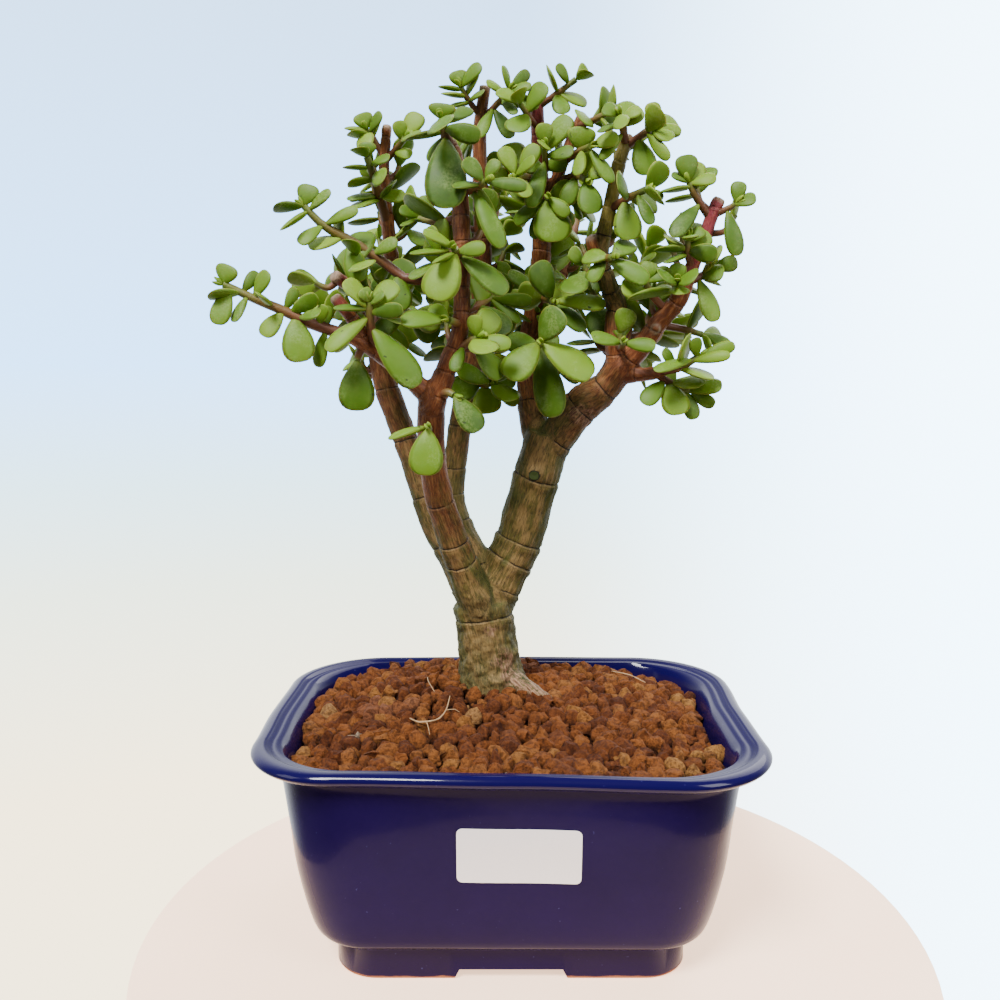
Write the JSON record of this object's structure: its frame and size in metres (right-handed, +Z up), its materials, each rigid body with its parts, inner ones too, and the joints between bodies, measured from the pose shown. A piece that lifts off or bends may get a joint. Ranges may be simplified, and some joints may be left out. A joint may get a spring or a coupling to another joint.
{
  "type": "dwarf jade bonsai in a glazed pot",
  "caption": "Small bonsai of dwarf jade with forked trunk and clustered succulent leaves, growing in granular soil in a blue glazed rectangular pot with rounded corners.",
  "frame": {"origin": "on the surface under the feet, in the middle of the whole object's outline seen from above", "axes": "+Z up along the trunk, +X along the pot's long side to the viewer's right, -Y to the front with the label"},
  "size_m": [0.1656, 0.1358, 0.2721],
  "materials": {
    "glaze": "glossy cobalt glaze over red stoneware, unglazed under the feet",
    "fired_clay_soil": "matt porous fired clay granules",
    "bark": "rough lower bark, smoother red-brown branches",
    "leaf": "waxy, half glossy, fleshy",
    "label_paper": "plain white satin paper",
    "mesh_plastic": "black moulded plastic"
  },
  "bodies": {
    "root": {"pot": "glaze", "label": "label_paper", "drain_mesh_left": "mesh_plastic", "drain_mesh_right": "mesh_plastic", "soil": "fired_clay_soil", "wood": "bark", "spray_back_left_side": "leaf", "spray_back_left_top": "leaf", "spray_back_middle_left": "leaf", "spray_back_middle_right": "leaf", "spray_back_middle_top": "leaf", "spray_back_outer_side": "leaf", "spray_back_outer_top": "leaf", "spray_back_right_side": "leaf", "spray_back_right_top": "leaf", "spray_crown_a_left": "leaf", "spray_crown_a_right": "leaf", "spray_crown_b": "leaf", "spray_crown_c": "leaf", "spray_crown_d_left": "leaf", "spray_crown_d_right": "leaf", "spray_crown_e_left": "leaf", "spray_crown_e_low": "leaf", "spray_crown_e_right": "leaf", "spray_crown_f": "leaf", "spray_crown_f_low": "leaf", "spray_crown_g_left": "leaf", "spray_crown_g_right": "leaf", "spray_fork_right": "leaf", "spray_front_drop": "leaf", "spray_front_left_up": "leaf", "spray_front_mid": "leaf", "spray_front_pair": "leaf", "spray_front_stem_pair": "leaf", "spray_front_three": "leaf", "spray_left_drop": "leaf", "spray_left_high": "leaf", "spray_left_inner": "leaf", "spray_left_long": "leaf", "spray_left_rosette": "leaf", "spray_mid_f": "leaf", "spray_mid_g_low": "leaf", "spray_mid_g_right": "leaf", "spray_mid_h_left": "leaf", "spray_middle_low": "leaf", "spray_right_h_left": "leaf", "spray_right_h_mid": "leaf", "spray_right_h_out": "leaf", "spray_right_h_oval": "leaf", "spray_right_h_right": "leaf", "spray_right_i": "leaf", "spray_right_i_low": "leaf", "spray_right_low_in": "leaf", "spray_right_low_out": "leaf", "spray_u_high": "leaf", "spray_u_left": "leaf", "spray_u_low": "leaf", "spray_u_mid": "leaf", "spray_u_right": "leaf", "spray_u_side": "leaf"}
  },
  "joints": []
}
